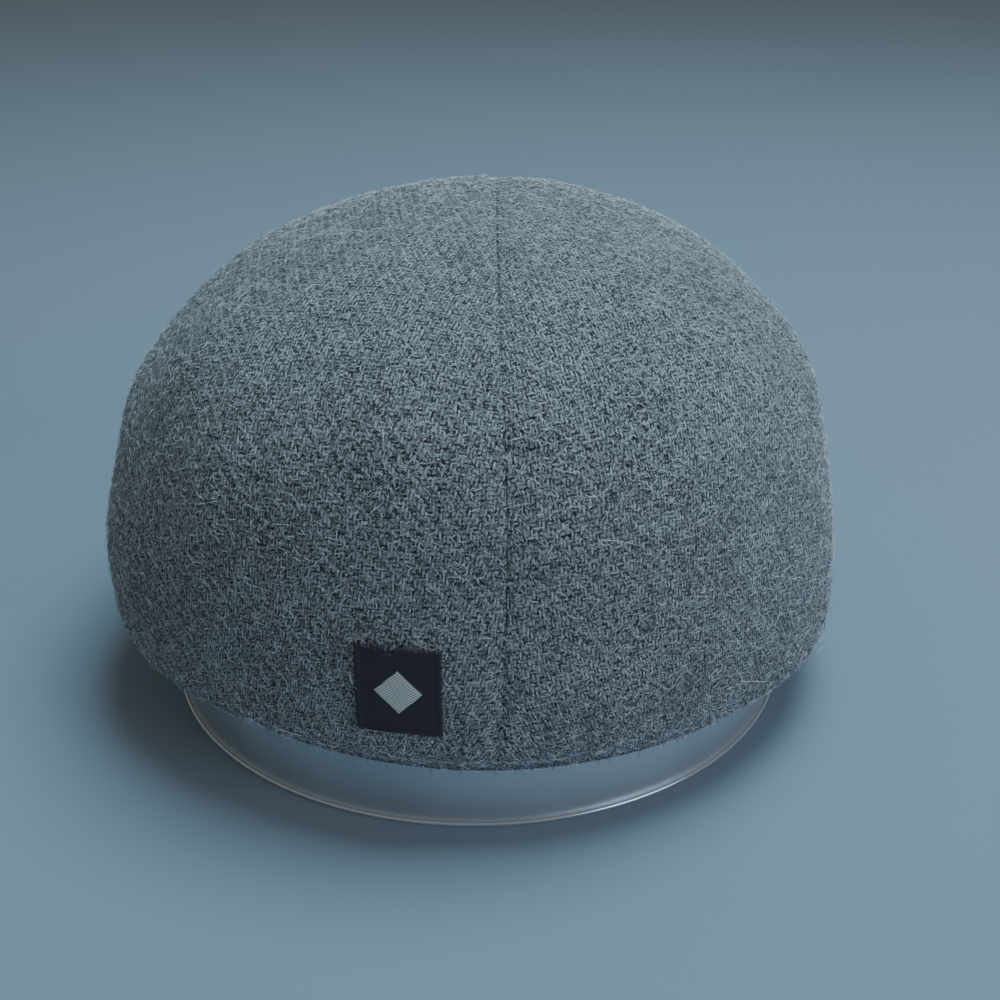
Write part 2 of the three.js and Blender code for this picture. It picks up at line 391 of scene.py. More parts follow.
CROWN_BACK = HEM_RADIUS + BACK_OVERHANG
CROWN_FRONT = OPENING_FRONT + CROWN_LEAD + FRONT_OVERHANG
CROWN_TOP = HEM_HEIGHT + CROWN_RISE
PEAK_DEPTH = CROWN_LEAD + PEAK_SHOW

# height, then the shares that the section keeps: spread out from the hem, back, side and front
CROWN_SECTIONS = [
    (0.0, 0.0, 1.0, 1.0, 1.0),
    (0.025, 0.16, 1.0, 1.0, 1.0),
    (0.055, 0.76, 1.0, 1.0, 1.0),
    (0.09, 0.97, 1.0, 1.0, 1.0),
    (0.14, 1.0, 1.0, 1.0, 1.0),
    (0.25, 1.0, 1.0, 0.995, 0.975),
    (0.38, 1.0, 0.99, 0.97, 0.91),
    (0.5, 1.0, 0.975, 0.935, 0.835),
    (0.6, 1.0, 0.95, 0.89, 0.76),
    (0.69, 1.0, 0.91, 0.825, 0.675),
    (0.77, 1.0, 0.85, 0.745, 0.58),
    (0.84, 1.0, 0.765, 0.65, 0.485),
    (0.9, 1.0, 0.655, 0.53, 0.38),
    (0.95, 1.0, 0.5, 0.38, 0.27),
    (0.985, 1.0, 0.28, 0.21, 0.15),
    (1.0, 1.0, 0.0, 0.0, 0.0),
]
SPREAD, BACK, SIDE, FRONT = 1, 2, 3, 4

# turn and height of a fold's middle, how far it spreads in each, and its rise as a share of FOLD_HEIGHT
CROWN_FOLDS = [
    (226, 0.6, 5, 0.24, 0.5),
    (245, 0.66, 11, 0.17, -0.6),
    (211, 0.76, 12, 0.12, 0.5),
    (200, 0.3, 16, 0.14, 0.5),
    (180, 0.56, 14, 0.1, 0.4),
    (356, 0.66, 14, 0.11, 0.6),
    (318, 0.5, 10, 0.2, -0.4),
]

# the same columns, for soft swells and a dip that are too shallow for the solids
CLOTH_SWELLS = [
    (246, 0.68, 13, 0.18, 0.6),
    (236, 0.16, 17, 0.17, -0.45),
    (284, 0.2, 10, 0.1, 0.35),
]
print("crown", 2 * CROWN_HALF_WIDTH, "mm wide,", CROWN_BACK + CROWN_FRONT, "mm long,", CROWN_TOP, "mm high")


# %% Outline of the crown
def smoothstep(value, low, high):
    """A share that rises softly from 0 at low to 1 at high."""
    share = min(max((value - low) / (high - low), 0), 1)
    return share * share * (3 - 2 * share)


def bell(distance):
    """A soft bump, 1 in its middle and near 0 from two widths away."""
    return math.exp(-distance * distance)


def around_seam(turn, radius, height):
    """The place at that turn, distance and height from the upright axis through the seam."""
    return Vector((SEAM_OFFSET + radius * math.cos(turn), radius * math.sin(turn), height))


def reach_to_oval(turn, middle, half_width, half_depth):
    """How far an oval's edge lies from the seam's axis, in the direction of that turn."""
    start = SEAM_OFFSET - middle
    across = math.cos(turn) / half_width
    along = math.sin(turn) / half_depth
    a = across * across + along * along
    b = across * start / half_width
    c = (start / half_width) ** 2 - 1
    return (math.sqrt(b * b - a * c) - b) / a


def opening_reach(turn):
    """The opening for the head: round behind, and longer in front."""
    return reach_to_oval(turn, 0, HEM_RADIUS, OPENING_FRONT if math.sin(turn) > 0 else HEM_RADIUS)


def outline_reach(turn, height):
    """The crown's widest outline, fuller at its front corners."""
    depth = CROWN_FRONT if math.sin(turn) > 0 else CROWN_BACK
    corner = max(math.sin(turn), 0) * math.sin(2 * turn) ** 2
    reach = reach_to_oval(turn, CROWN_SHIFT, CROWN_HALF_WIDTH, depth)
    return reach + FRONT_FULLNESS * corner * (1 - height)


def peak_share(turn):
    """How far the peak reaches out at that turn, from 0 at its ends to 1 in its middle."""
    first = math.radians(PEAK_TURN)
    along = (turn % math.tau - first) / (math.pi - 2 * first)
    return math.sin(along * math.pi) ** PEAK_TAPER if 0 < along < 1 else 0


def hem_reach(turn):
    """The crown's lower edge, which leaves the opening where it lies on the peak."""
    return opening_reach(turn) + CROWN_LEAD * peak_share(turn)


def seat_height(turn, radius):
    """Height of the hem, tilted and sagging at the sides, and of the peak's top ahead of it."""
    place = around_seam(turn, radius, 0)
    level = HEM_HEIGHT - HEM_TILT * place.x / (2 * HEM_RADIUS) - HEM_SAG * math.cos(turn) ** 4
    ahead = (radius - opening_reach(turn)) / PEAK_DEPTH
    return level + peak_share(turn) ** 2 * (PEAK_ARCH - PEAK_DROOP * ahead)


# %% Sections and folds of the crown
SECTION_HEIGHTS = [row[0] for row in CROWN_SECTIONS]
TURN_STEP = 0.01
HEIGHT_STEP = 0.004


def section_value(column, height):
    """A column of the section table at any height, on a smooth curve through the rows."""
    last = len(CROWN_SECTIONS) - 1
    k = min(max(bisect.bisect_left(SECTION_HEIGHTS, height), 1), last) - 1

    def slope(i):
        before, after = CROWN_SECTIONS[max(i - 1, 0)], CROWN_SECTIONS[min(i + 1, last)]
        return (after[column] - before[column]) / (after[0] - before[0])

    low, high = CROWN_SECTIONS[k], CROWN_SECTIONS[k + 1]
    span = high[0] - low[0]
    t = (height - low[0]) / span
    blend = t * t * (3 - 2 * t)
    bend = slope(k) * t * (1 - t) ** 2 - slope(k + 1) * t * t * (1 - t)
    return low[column] + (high[column] - low[column]) * blend + span * bend


def crown_form(turn, height):
    """A point of the crown before its folds, from the outlines and the section table."""
    ahead = max(math.sin(turn), 0) ** 2
    behind = max(-math.sin(turn), 0) ** 2
    kept = (
        section_value(BACK, height) * behind
        + section_value(FRONT, height) * ahead
        + section_value(SIDE, height) * math.cos(turn) ** 2
    )
    hem = hem_reach(turn)
    spread = hem + (outline_reach(turn, height) - hem) * section_value(SPREAD, height)
    seat = seat_height(turn, hem)
    return around_seam(turn, spread * kept, seat + (CROWN_TOP - seat) * height)


def crown_relief(turn, height, place):
    """How far the seam's dip, the folds and the swells move the cloth out there."""
    relief = -SEAM_DEPTH * bell((place.x - SEAM_OFFSET) / SEAM_HALF_WIDTH)
    for middle, level, turn_spread, height_spread, rise in CROWN_FOLDS + CLOTH_SWELLS:
        around = ((math.degrees(turn) - middle + 180) % 360 - 180) / turn_spread
        relief += FOLD_HEIGHT * rise * bell(around) * bell((height - level) / height_spread)
    return relief * smoothstep(height, RELIEF_START, RELIEF_FULL)


def crown_point(turn, height, lift=0.0):
    """A point of the crown and the way out of the cloth there, in millimetres."""
    place = crown_form(turn, height)
    around = crown_form(turn + TURN_STEP, height) - crown_form(turn - TURN_STEP, height)
    up = Vector((0, 0, 1))
    if height > 0:
        up = crown_form(turn, min(height + HEIGHT_STEP, 1)) - crown_form(turn, max(height - HEIGHT_STEP, 0))
    outward = around.cross(up).normalized() if height < 1 else Vector((0, 0, 1))
    return place + outward * (crown_relief(turn, height, place) + lift), outward


print("top of the crown", [round(value, 1) for value in crown_point(1.5 * math.pi, 1)[0]])

# %% [markdown]
# ## The two panels
#
# A round grid of rings would bunch up at the top, right in view. Instead each panel is a square grid bent
# into half a disc: its straight side is the seam and its other three sides are the hem. Columns lie
# closer together beside the seam, where the cloth dips into the stitching. The rings are spaced by the
# length of cloth between them, measured down one side.

# %% Grid of a panel
ACROSS_STEPS = 120
ALONG_STEPS = 170
SEAM_CROWDING = 1.3
PROFILE_STEPS = 240
PROFILE_TURN = math.radians(215)
CREASE_DEPTH = 0.6
CREASE_HALF_WIDTH = 0.75
SEAM_OPENING = 0.1
HEM_CREASE = 0.4
PULL_SIZE = 2.2
PULL_LEAST = 0.6
PULL_SWING = 0.8
RIDGE_FROM_SEAM = 3.4
RIDGE_RISE = 0.14
RIDGE_HALF_WIDTH = 0.7
SEAM_DRIFT = 2.3
SEAM_DRIFT_SHARE = 0.45
SEAM_DRIFT_REACH = 16
LUMP_HEIGHT = 0.18
LUMP_SIZE = 5.0
GRAIN_MAP = "grain"

side_profile = [crown_form(PROFILE_TURN, step / PROFILE_STEPS) for step in range(PROFILE_STEPS + 1)]
run = [0.0]
for before, after in zip(side_profile, side_profile[1:]):
    run.append(run[-1] + (after - before).length)


def height_at(share):
    """Height on the crown for a share of the cloth's length from the top (0) down to the hem (1)."""
    length = run[-1] * (1 - share)
    k = min(max(bisect.bisect_left(run, length), 1), PROFILE_STEPS)
    within = (length - run[k - 1]) / (run[k] - run[k - 1])
    return (k - 1 + within) / PROFILE_STEPS


def seam_drift(height):
    """How far the sewn seam strays sideways from its straight line at that height."""
    return SEAM_DRIFT * (math.sin(math.pi * height) - SEAM_DRIFT_SHARE)


def cloth_point(turn, height, side):
    """A point of the sewn cloth and its way out, with the seam's crease and ridges and soft lumps."""
    place, outward = crown_point(turn, height)
    from_seam = abs(place.x - SEAM_OFFSET)
    fade = smoothstep(height, 0, RELIEF_START)
    pulled = PULL_LEAST + PULL_SWING * noise.noise(Vector((0, place.y, place.z)) / PULL_SIZE)
    sunk = HEM_CREASE + (1 - HEM_CREASE) * fade
    crease = CREASE_DEPTH * pulled * bell(from_seam / CREASE_HALF_WIDTH) * sunk
    ridge = RIDGE_RISE * bell((from_seam - RIDGE_FROM_SEAM) / RIDGE_HALF_WIDTH) * fade
    lumps = LUMP_HEIGHT * noise.fractal(place / LUMP_SIZE, 1.0, 2.0, 3) * fade
    place += outward * (lumps + ridge - crease)
    place.x += seam_drift(height) * bell(from_seam / SEAM_DRIFT_REACH)
    place.x += side * SEAM_OPENING / 2 * bell(from_seam / CREASE_HALF_WIDTH)
    return place, outward


def panel_mesh(name, side):
    """One half of the crown's outer face in millimetres, left (-1) or right (1) of the seam."""
    shape = bmesh.new()
    bmesh.ops.create_grid(shape, x_segments=ACROSS_STEPS, y_segments=ALONG_STEPS, size=0.5)
    flat = shape.loops.layers.uv.new(GRAIN_MAP)
    for face in shape.faces:
        for loop in face.loops:
            loop[flat].uv = loop.vert.co.xy
    for corner in shape.verts:
        s = min(max(corner.co.x + 0.5, 0), 1) ** SEAM_CROWDING
        t = 2 * corner.co.y
        disc_x = s * math.sqrt(1 - t * t / 2)
        disc_y = t * math.sqrt(1 - s * s / 2)
        turn = math.atan2(disc_y, side * disc_x) % math.tau
        height = height_at(min(math.hypot(disc_x, disc_y), 1))
        corner.co = cloth_point(turn, height, side)[0]
    if side < 0:
        bmesh.ops.reverse_faces(shape, faces=shape.faces)
    print(name, len(shape.faces), "faces")
    return mesh_from(shape, name)


left_mesh = panel_mesh("crown_left_cloth", -1)
right_mesh = panel_mesh("crown_right_cloth", 1)

# %% [markdown]
# ## Laying the panels flat
#
# A weave follows the flat piece that a panel is cut from. Blender's unwrap lays the curved panel flat with
# as little stretch as it can, as a pattern cutter would. The flat piece is then scaled to its real size
# and turned so that the back of the seam runs straight up, because the cloth is cut along its grain there.
# The seam's edge is cut in a shallow curve, so the grain bows a little beside it.

# %% Flat pattern of a panel
GRAIN_BOW = 0.002
BOW_MIDDLE = {-1: 65, 1: 80}
GRAIN_LOW = 0.19
GRAIN_HIGH = 0.76


def lay_flat(piece, side):
    """Lays a panel's pattern flat to its real size, and turns the panel's millimetres into metres."""
    mesh = piece.data
    bpy.context.view_layer.objects.active = piece
    piece.select_set(True)
    bpy.ops.object.mode_set(mode="EDIT")
    bpy.ops.mesh.select_all(action="SELECT")
    bpy.ops.uv.unwrap(method="MINIMUM_STRETCH", margin=0)
    bpy.ops.object.mode_set(mode="OBJECT")
    piece.select_set(False)
    flat = mesh.uv_layers[GRAIN_MAP].data
    real = drawn = 0.0
    for face in mesh.polygons:
        for first, second in zip(face.loop_indices, list(face.loop_indices)[1:]):
            a, b = mesh.loops[first].vertex_index, mesh.loops[second].vertex_index
            real += (mesh.vertices[a].co - mesh.vertices[b].co).length
            drawn += (flat[first].uv - flat[second].uv).length

    def flat_place(height):
        """Where the back of the seam lies in the flat pattern at that height."""
        target = cloth_point(1.5 * math.pi, height, side)[0]
        nearest = min(mesh.loops, key=lambda loop: (mesh.vertices[loop.vertex_index].co - target).length)
        return flat[nearest.index].uv.copy()

    low, high = flat_place(GRAIN_LOW), flat_place(GRAIN_HIGH)
    turn = math.pi / 2 - math.atan2(high.y - low.y, high.x - low.x)
    spin = Matrix.Rotation(turn, 2)
    for corner in flat:
        place = spin @ (corner.uv - low) * (real / drawn)
        place.x -= side * GRAIN_BOW * (place.y - BOW_MIDDLE[side]) ** 2
        corner.uv = place
    mesh.transform(Matrix.Scale(MM, 4))
    print(piece.name, "laid flat, one unit is", round(real / drawn, 1), "mm")


# %% [markdown]
# ## Wool twill
#
# The cloth is a two-and-two twill: every yarn passes over two others and under the next two, and each row
# starts one yarn further on, so the short strokes climb in slanting lines. The yarns that run up the cap
# are 0.8 mm apart and those across it 0.97 mm. The recipe counts the yarns in the flat pattern and asks
# of each crossing which one lies on top. It then gives that float its rounded back, a lightness of its
# own and fine strands that run along it. The rounded back also goes into the colour as painted shade:
# the float is lighter on its crown and darker at its edges and in the gaps between yarns. Wool is far from
# regular, so noise bends the yarns, loose fibres lie over them in pale curls, and the nap blurs the weave
# in patches. A little sheen stands for the rest of the nap, which catches light where the cloth turns away.

# %% Twill finish
WARP_PITCH = 0.80
WEFT_PITCH = 0.97
WEFT_TILT = 0.09
YARN_WIDTH = 0.7
STRANDS_ACROSS = 4.4
STRANDS_ALONG = 1.5
STRAND_LEAN = 16
STRAND_CLIMB = 30
TWILL_REPEAT = 4
FLOAT_END = 0.3
WARP_LIGHT = 1.1
WEFT_LIGHT = 0.7
OWN_LIGHT = (0.5, 1.05)
STRAND_LIGHT = 0.7
FLUFF_LIGHT = 0.7
LOOSE_LIGHT = 0.3
LOOSE_COVER = 0.7
STRAND_RELIEF = 0.5
LOOSE_RELIEF = 0.5
STRAND_EDGES = (0.4, 0.62)
LOOSE_EDGES = (0.4, 0.56)
NAP_EDGES = (0.38, 0.72, 0.0, 0.5)
TONE_RANGE = (0.64, 1.5)
TONE_POWER = 1.8
DARK_WOOL = grey(0.012, 0.03)
PALE_WOOL = grey(0.95)
LOOSE_WOOL = grey(0.88)
RELIEF_DISTANCE = 0.0006
WOOL_SURFACE = {
    "Specular IOR Level": 0.2,
    "Sheen Weight": 0.35,
    "Sheen Roughness": 0.45,
    "Sheen Tint": (0.66, 0.8, 0.86, 1),
}

# scale, detail and roughness of a noise
STRAND_GRAIN = (1.0, 2, 0.6)
FLUFF_GRAIN = (3.4, 2, 0.6)
NAP_GRAIN = (0.05, 3, 0.6)
LOOSE_GRAIN = (0.8, 2)

# how often the yarns wander in each millimetre, and how far
YARN_WANDERS = [(0.12, 1.6), (0.7, 0.36), (2.0, 0.2)]

# how often loose fibres curl in each millimetre, where their pattern starts and how wide they are
LOOSE_CURLS = [(1.1, (0, 0, 0), 0.055), (1.5, (50, 20, 0), 0.07)]


def wool_finish(name):
    """The woven cloth, worked out crossing by crossing in the flat pattern."""
    wool = Recipe(name)
    place = wool.node("ShaderNodeUVMap", uv_map=GRAIN_MAP).outputs[0]
    moved = place
    for scale, reach in YARN_WANDERS:
        shift = wool.vector("SUBTRACT", wool.noise(place, scale, 2, output="Color"), (0.5, 0.5, 0.5))
        moved = wool.vector("ADD", moved, wool.vector("MULTIPLY", shift, (reach, reach, 0)))
    moved_x, moved_y = wool.split(moved)[:2]
    warp = wool.sum("DIVIDE", moved_x, WARP_PITCH)
    level = wool.sum("SUBTRACT", moved_y, wool.sum("MULTIPLY", moved_x, WEFT_TILT))
    weft = wool.sum("DIVIDE", level, WEFT_PITCH)
    warp_yarn, weft_yarn = wool.sum("FLOOR", warp), wool.sum("FLOOR", weft)
    in_warp, in_weft = wool.sum("FRACT", warp), wool.sum("FRACT", weft)
    step = wool.sum("FLOORED_MODULO", wool.sum("ADD", warp_yarn, weft_yarn), TWILL_REPEAT)
    weft_on_top = wool.sum("GREATER_THAN", step, 1.5)

    def either(if_warp, if_weft):
        gap = wool.sum("SUBTRACT", if_weft, if_warp)
        return wool.sum("MULTIPLY_ADD", weft_on_top, gap, if_warp)

    # the float on top: how far along it, how far off its middle, and its rounded back, used as relief and
    # as painted shade
    into = wool.sum("ADD", wool.sum("FLOORED_MODULO", step, 2.0), either(in_weft, in_warp))
    past = wool.sum("MULTIPLY", into, 0.5)
    arch = wool.sum("SINE", wool.sum("MULTIPLY", past, math.pi))
    off = wool.sum("MULTIPLY", wool.sum("SUBTRACT", either(in_warp, in_weft), 0.5), 2 / YARN_WIDTH)
    fall = wool.sum("SUBTRACT", 1.0, wool.sum("MULTIPLY", off, off))
    round_back = wool.sum("SQRT", wool.sum("MAXIMUM", fall, 0.0))
    rise = wool.sum("MULTIPLY_ADD", arch, 1 - FLOAT_END, FLOAT_END)
    float_height = wool.sum("MULTIPLY", round_back, rise)
    tag = wool.node("ShaderNodeCombineXYZ")
    wool.feed(tag.inputs[0], either(warp_yarn, weft_yarn))
    twill_line = wool.sum("DIVIDE", wool.sum("ADD", warp_yarn, weft_yarn), TWILL_REPEAT)
    wool.feed(tag.inputs[1], wool.sum("FLOOR", twill_line))
    wool.feed(tag.inputs[2], weft_on_top)
    own = wool.node("ShaderNodeTexWhiteNoise", noise_dimensions="3D")
    wool.feed(own.inputs["Vector"], tag.outputs[0])

    # strands along the float, pale fibres lying loose over it, and the nap's patches
    leaning, climbing = wool.turned(moved, STRAND_LEAN), wool.turned(moved, -STRAND_CLIMB)
    up_place = wool.vector("MULTIPLY", leaning, (STRANDS_ACROSS, STRANDS_ALONG, 0))
    side_place = wool.vector("MULTIPLY", climbing, (STRANDS_ALONG, STRANDS_ACROSS, 0))
    up_strands = wool.noise(up_place, *STRAND_GRAIN)
    side_strands = wool.noise(side_place, *STRAND_GRAIN)
    strands = wool.range(either(up_strands, side_strands), *STRAND_EDGES)

    def curls(scale, shift, width):
        wave = wool.noise(wool.vector("ADD", place, shift), scale, 1)
        away = wool.sum("ABSOLUTE", wool.sum("SUBTRACT", wave, 0.5))
        return wool.range(away, 0.0, width, 1.0, 0.0)

    loose = wool.sum("MAXIMUM", *(curls(*row) for row in LOOSE_CURLS))
    loose = wool.sum("MULTIPLY", loose, wool.range(wool.noise(place, *LOOSE_GRAIN), *LOOSE_EDGES))
    fluff = wool.noise(place, *FLUFF_GRAIN)
    nap = wool.range(wool.noise(place, *NAP_GRAIN), *NAP_EDGES)
    woven = wool.sum("MULTIPLY", float_height, wool.sum("SUBTRACT", 1.0, nap))

    height = wool.sum("MULTIPLY_ADD", strands, STRAND_RELIEF, woven)
    height = wool.sum("MULTIPLY_ADD", loose, LOOSE_RELIEF, height)
    own_light = wool.range(own.outputs["Value"], 0.0, 1.0, *OWN_LIGHT)
    yarn_light = wool.sum("MULTIPLY", own_light, either(WARP_LIGHT, WEFT_LIGHT))
    # the float's rounded back lightens its crown and darkens its edges and the gaps between yarns: painted
    # shade
    tone = wool.sum("MULTIPLY_ADD", woven, yarn_light, wool.sum("MULTIPLY", strands, STRAND_LIGHT))
    tone = wool.sum("MULTIPLY_ADD", fluff, FLUFF_LIGHT, tone)
    tone = wool.sum("MULTIPLY_ADD", loose, LOOSE_LIGHT, tone)
    shade = wool.sum("POWER", wool.range(tone, *TONE_RANGE), TONE_POWER)
    colour = wool.mix(shade, DARK_WOOL, PALE_WOOL)
    colour = wool.mix(wool.sum("MULTIPLY", loose, LOOSE_COVER), colour, LOOSE_WOOL)
    wool.surface({"Base Color": colour, "Roughness": wool.range(fluff, 0.3, 0.7, 0.82, 0.98)})
    wool.surface(WOOL_SURFACE)
    wool.bump(height, RELIEF_DISTANCE)
    return wool.material


twill = wool_finish("wool_twill")
print("yarns", WARP_PITCH, "and", WEFT_PITCH, "mm apart")

# %% Crown panels
left_cloth = add_piece("crown_left_cloth", left_mesh, [twill])
right_cloth = add_piece("crown_right_cloth", right_mesh, [twill])
lay_flat(left_cloth, -1)
lay_flat(right_cloth, 1)


# %% [markdown]
# ### Cloth thickness
#
# The grid is only the outer face of the cloth. Solidify gives it the wall, inwards, so the outline stays
# where the photo has it and the hem shows its edge from below.

# %% Walls of the panels
def give_wall(piece, thickness):
    """Thickens a face into a wall, inwards from the face that was made."""
    wall = piece.modifiers.new("wall", "SOLIDIFY")
    wall.thickness = thickness * MM
    wall.offset = -1
    wall.use_even_offset = False


for cloth, node in ((left_cloth, "crown_left_panel"), (right_cloth, "crown_right_panel")):
    give_wall(cloth, CLOTH_WALL)
    dress(cloth, "wool", node)

# %% [markdown]
# ## Peak
#
# The stiff peak sits under the crown's front edge and hardly shows from behind. It is a flat crescent with
# a rounded outer edge, covered in the same cloth, so it is a grid bent over the front of the opening and
# closed over its edge.

# %% Peak shape
PEAK_COLUMNS = 120
PEAK_ROWS = 48
PEAK_ROLL_SHARE = 0.12
REST_GAP = 0.3


def peak_point(across, along):
    """A point of the cover, in millimetres, and its place in the cover laid flat.

    across runs 0 to 1 over the top of the peak to its edge and back underneath, along from end to end.
    """
    first = math.radians(PEAK_TURN)
    turn = first + (math.pi - 2 * first) * along
    inner = opening_reach(turn) - CLOTH_WALL
    share = peak_share(turn)
    half = PEAK_THICKNESS / 2
    grown = PEAK_TIP_WIDTH + (PEAK_SHOW - PEAK_TIP_WIDTH) * share**2
    flat = CLOTH_WALL + CROWN_LEAD * share + grown - half
    out = min(across, 1 - across) * 2
    over = max(out - (1 - PEAK_ROLL_SHARE), 0) / PEAK_ROLL_SHARE
    roll = over * math.pi / 2
    along_flat = min(out / (1 - PEAK_ROLL_SHARE), 1)
    radius = inner + flat * along_flat + half * math.sin(roll)
    middle = seat_height(turn, min(radius, inner + flat)) - REST_GAP - half
    facing = 1 if across <= 0.5 else -1
    covered = flat * along_flat + half * roll
    if facing < 0:
        covered = 2 * flat + math.pi * half - covered
    place = around_seam(turn, radius, middle + facing * half * math.cos(roll))
    return place, around_seam(turn, inner + covered, 0).xy


peak_shape = bmesh.new()
bmesh.ops.create_grid(peak_shape, x_segments=PEAK_COLUMNS, y_segments=PEAK_ROWS, size=0.5)
peak_map = peak_shape.loops.layers.uv.new(GRAIN_MAP)
laid_flat = {}
for corner in peak_shape.verts:
    across, along = (min(max(share + 0.5, 0), 1) for share in (corner.co.y, corner.co.x))
    place, laid_flat[corner] = peak_point(across, along)
    corner.co = place * MM
for face in peak_shape.faces:
    for loop in face.loops:
        loop[peak_map].uv = laid_flat[loop.vert]
open_edges = [edge for edge in peak_shape.edges if edge.is_boundary]
bmesh.ops.holes_fill(peak_shape, edges=open_edges)
bmesh.ops.recalc_face_normals(peak_shape, faces=peak_shape.faces)
peak = add_piece("peak_cover", mesh_from(peak_shape, "peak_cover"), [twill])
dress(peak, "wool", "peak")

# %% [markdown]
# ## Label
#
# A small woven label is sewn low on the back of the left panel. Its edges are folded under, so it is a
# little thicker there. The mark on the real one belongs to a maker, so its place holds a plain lozenge,
# woven in the same pale thread. The label lies on the cloth, so its points come from the crown's own
# surface, lifted by its thickness.

# %% Label shape
LABEL_WIDTH = 19.3
LABEL_HEIGHT = 22
LABEL_THICKNESS = 0.8
LABEL_FROM_SEAM = 12.8
LABEL_ABOVE_HEM = 14.5
LABEL_STEPS = 56
FOLD_WIDTH = 1.3
FOLD_RISE = 0.22
LOZENGE_HALF_WIDTH = 5.4
LOZENGE_HALF_HEIGHT = 5.6
LOZENGE_RISE = 0.16
LOZENGE_EDGE = (0.94, 1.04)
EDGE_ROUNDING = 0.25
LABEL_WAVE = 0.12
LABEL_WAVE_SIZE = 5
LABEL_TURN = 1.5 * math.pi - (LABEL_FROM_SEAM + LABEL_WIDTH / 2) / CROWN_BACK


def label_place(across, up, lift):
    """A point over the label's middle, in millimetres across and up from it."""
    turn = LABEL_TURN + across / CROWN_BACK
    height = (LABEL_ABOVE_HEM + LABEL_HEIGHT / 2 + up) / CROWN_RISE
    return crown_point(turn, height, lift)[0]


label_shape = bmesh.new()
bmesh.ops.create_grid(label_shape, x_segments=LABEL_STEPS, y_segments=LABEL_STEPS, size=0.5)
label_map = label_shape.loops.layers.uv.new("label")
for face in label_shape.faces:
    for loop in face.loops:
        loop[label_map].uv = (loop.vert.co.x * LABEL_WIDTH, loop.vert.co.y * LABEL_HEIGHT)
for corner in label_shape.verts:
    across, up = corner.co.x * LABEL_WIDTH, corner.co.y * LABEL_HEIGHT
    inside = min(LABEL_WIDTH / 2 - abs(across), LABEL_HEIGHT / 2 - abs(up))
    fold = FOLD_RISE * (1 - smoothstep(inside, FOLD_WIDTH * 0.7, FOLD_WIDTH))
    fold -= EDGE_ROUNDING * bell(inside / EDGE_ROUNDING)
    lozenge = abs(across) / LOZENGE_HALF_WIDTH + abs(up) / LOZENGE_HALF_HEIGHT
    mark = LOZENGE_RISE * (1 - smoothstep(lozenge, *LOZENGE_EDGE))
    wave = LABEL_WAVE * noise.noise(Vector((across / LABEL_WAVE_SIZE, up / LABEL_WAVE_SIZE, 3)))
    corner.co = label_place(across, up, REST_GAP + LABEL_THICKNESS + fold + mark + wave) * MM
print("label", LABEL_WIDTH, "by", LABEL_HEIGHT, "mm")

# %% Label finish
DAMASK_PITCH = 0.28
DAMASK_SLOPE = 0.8
DAMASK_SPREAD = 2.4
MARK_EDGE = (0.99, 1.03)
MARK_WOBBLE = 0.05
GROUND_THREADS = ((0.008, 0.008, 0.014, 1), (0.058, 0.056, 0.08, 1))
PALE_THREADS = ((0.30, 0.37, 0.37, 1), (0.85, 0.95, 0.93, 1))

damask = Recipe("label_weave")
spot = damask.node("ShaderNodeUVMap", uv_map="label").outputs[0]
spot_x, spot_y = damask.split(spot)[:2]
side_x = damask.sum("DIVIDE", damask.sum("ABSOLUTE", spot_x), LOZENGE_HALF_WIDTH)
side_y = damask.sum("DIVIDE", damask.sum("ABSOLUTE", spot_y), LOZENGE_HALF_HEIGHT)
ragged = damask.sum("MULTIPLY", damask.noise(spot, 2.4, 2), MARK_WOBBLE)
reach = damask.sum("ADD", damask.sum("ADD", side_x, side_y), ragged)
in_mark = damask.range(reach, *MARK_EDGE, 1.0, 0.0)
rows = damask.sum("SINE", damask.sum("MULTIPLY", spot_y, math.tau / DAMASK_PITCH))
diagonal = damask.sum("SUBTRACT", spot_y, damask.sum("MULTIPLY", spot_x, DAMASK_SLOPE))
slanted = damask.sum("MULTIPLY", diagonal, math.tau / (DAMASK_SPREAD * DAMASK_PITCH))
satin_rows = damask.sum("SINE", slanted)
thread = damask.noise(spot, 6.0, 3, 0.6)


def threads(lines, contrast, low, high, colours):
    """A pair of thread colours, mixed by woven lines and by how the thread varies."""
    shade = damask.sum("MULTIPLY_ADD", lines, contrast, thread)
    return damask.mix(damask.range(shade, low, high), *colours)


ground = threads(rows, 0.3, 0.2, 0.9, GROUND_THREADS)
pale = threads(satin_rows, 0.35, 0.1, 0.95, PALE_THREADS)
damask.surface({
    "Base Color": damask.mix(in_mark, ground, pale),
    "Roughness": damask.range(thread, 0.3, 0.7, 0.6, 0.85),
    "Sheen Weight": 0.1,
})
damask.bump(damask.sum("ADD", damask.sum("MULTIPLY", rows, 0.4), thread), 0.0001, 0.7)

label = add_piece("label_patch", mesh_from(label_shape, "label_patch"), [damask.material])
give_wall(label, LABEL_THICKNESS)
dress(label, "label_weave", "woven_label")

# %% [markdown]
# ## Loose wool
#
# What makes the cap look like wool is the fuzz: thousands of fibres, each thinner than a tenth of a
# millimetre, that stand off the cloth, soften its outline and hang below the hem. Hair particles would not
# reach the exported mesh, so each fibre is a short curve with a three-sided section, and the curves of one
# panel become one mesh. Fibres are sown over the cloth's faces by their area. Most are short and lie
# almost flat. A few long pale ones curl over the cloth as they do in the photo.

# %% Fibre finishes
FIBRE_TONES = {"dark": 0.08, "middle": 0.4, "pale": 0.9}


def fibre_finish(tone):
    fibre = Recipe("fibre_" + tone)
    colour = grey(FIBRE_TONES[tone], 0.03)
    fibre.surface({"Base Color": colour, "Roughness": 0.8, "Specular IOR Level": 0.25})
    return fibre.material


fibre_finishes = [fibre_finish(tone) for tone in FIBRE_TONES]
DARK, MIDDLE, PALE = range(3)

